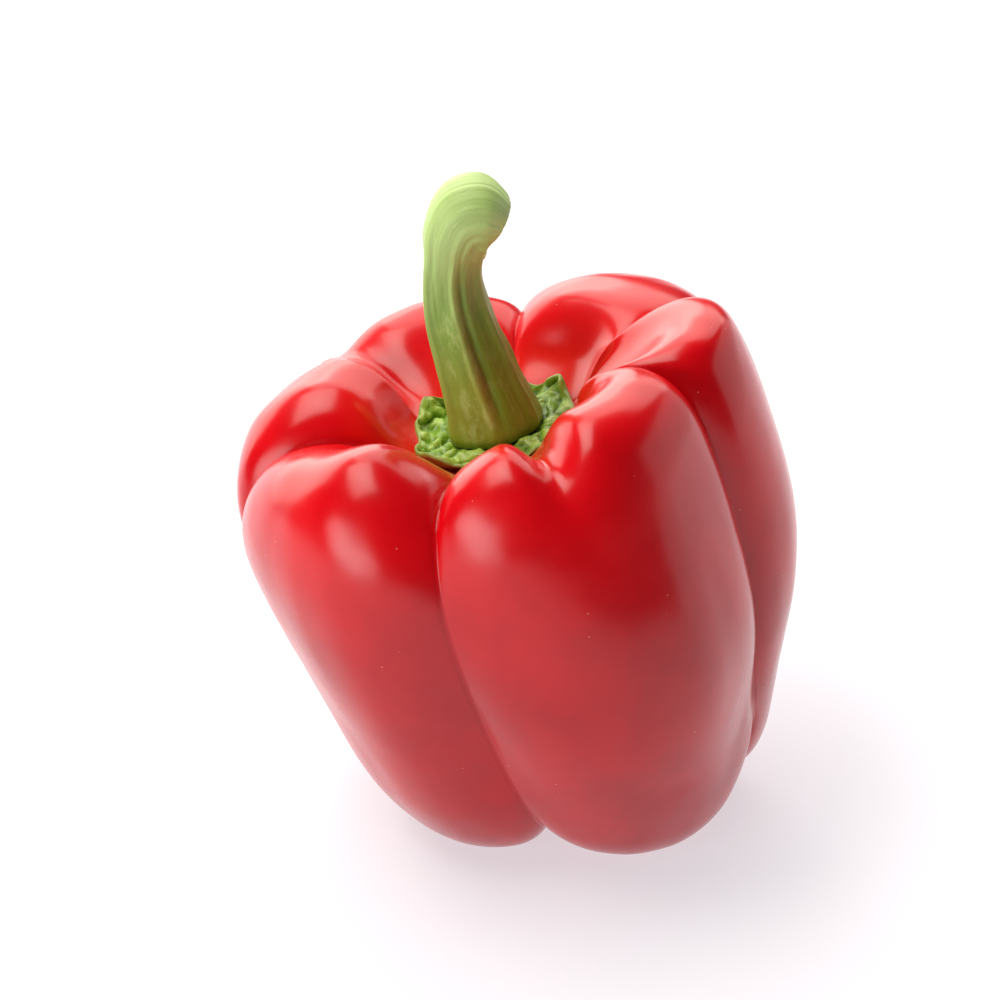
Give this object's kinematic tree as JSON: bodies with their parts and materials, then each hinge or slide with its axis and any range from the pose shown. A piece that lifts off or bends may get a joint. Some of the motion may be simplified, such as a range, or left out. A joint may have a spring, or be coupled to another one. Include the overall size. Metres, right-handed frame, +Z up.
{
  "type": "bell pepper",
  "caption": "Whole red bell pepper with rounded lobes and deep furrows, standing on its feet, with a green calyx in the crown and a hooked green stem.",
  "frame": {"origin": "middle of the bounding box at the level the feet stand on", "axes": "+Z up, out of the crown; -Y towards the double front lobe; the fruit leans towards -X"},
  "size_m": [0.0916, 0.0888, 0.1076],
  "materials": {
    "skin": "glossy waxy red skin",
    "calyx": "blistered satin green",
    "stem": "ribbed satin pale green"
  },
  "bodies": {
    "root": {"fruit": "skin", "calyx": "calyx", "stem": "stem"}
  },
  "joints": []
}
